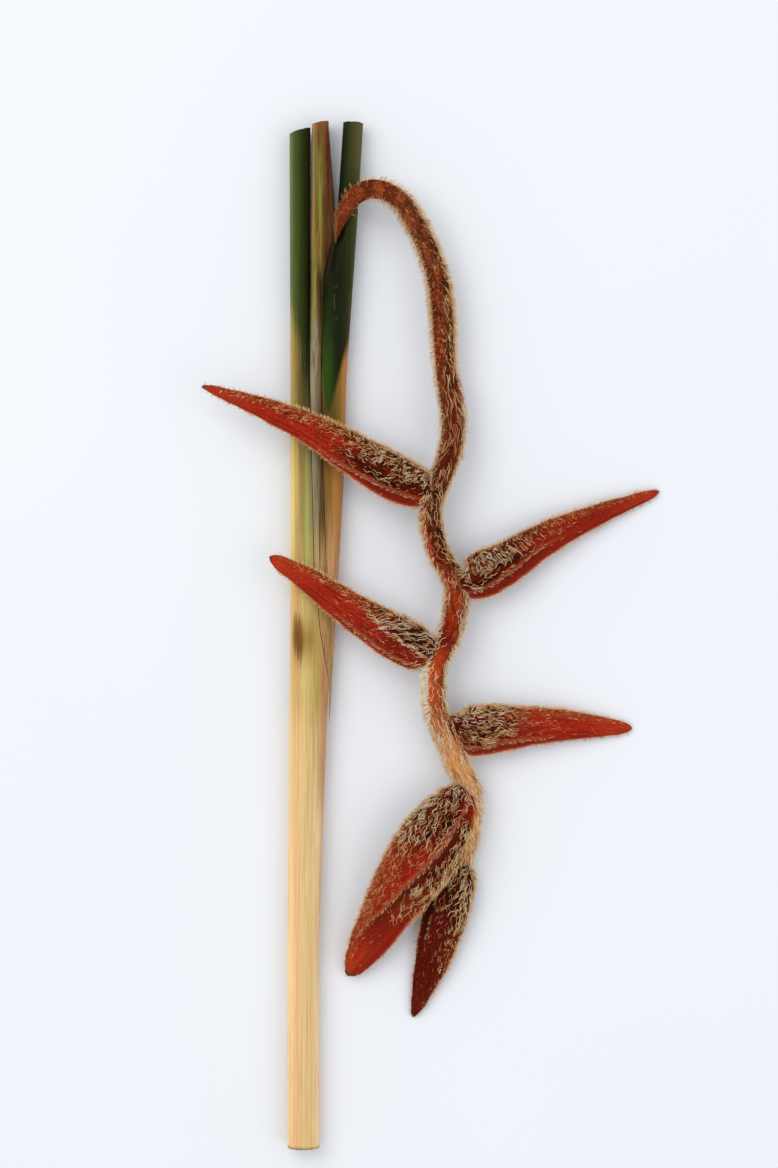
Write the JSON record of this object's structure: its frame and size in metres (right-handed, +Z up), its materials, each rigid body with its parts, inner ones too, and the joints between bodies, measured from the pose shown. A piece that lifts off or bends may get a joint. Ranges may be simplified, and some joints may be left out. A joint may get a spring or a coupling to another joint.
{
  "type": "heliconia flower",
  "caption": "Cut flowering stem of a hanging heliconia: rolled leaf sheaths with cut leaf stalks, an arched hairy flower stalk and pointed woolly red bracts, lying on a surface.",
  "frame": {"origin": "middle of the ground that the lying stem covers, on the surface", "axes": "+Y along the stem from the cut foot to the cut leaf stalks, +Z up from the surface, +X to the side the flower hangs on"},
  "size_m": [0.4624, 1.0306, 0.0633],
  "materials": {
    "outer_sheath": "smooth, faintly ribbed leaf sheath, cream yellow below and green above",
    "middle_stalk": "smooth olive and red-brown leaf stalk",
    "right_stalk": "smooth dark green leaf stalk",
    "flower_stalk": "orange-red skin under dense curly tan hair",
    "bract": "red leathery skin, woolly with tan hair along the back and near the stalk"
  },
  "bodies": {
    "root": {"left_leaf_sheath_and_stalk": "outer_sheath", "middle_leaf_sheath_and_stalk": "middle_stalk", "right_leaf_sheath_and_stalk": "right_stalk", "flower_stalk": "flower_stalk", "bract_1": "bract", "bract_2": "bract", "bract_3": "bract", "bract_4": "bract", "bract_5": "bract", "bract_6": "bract"}
  },
  "joints": []
}
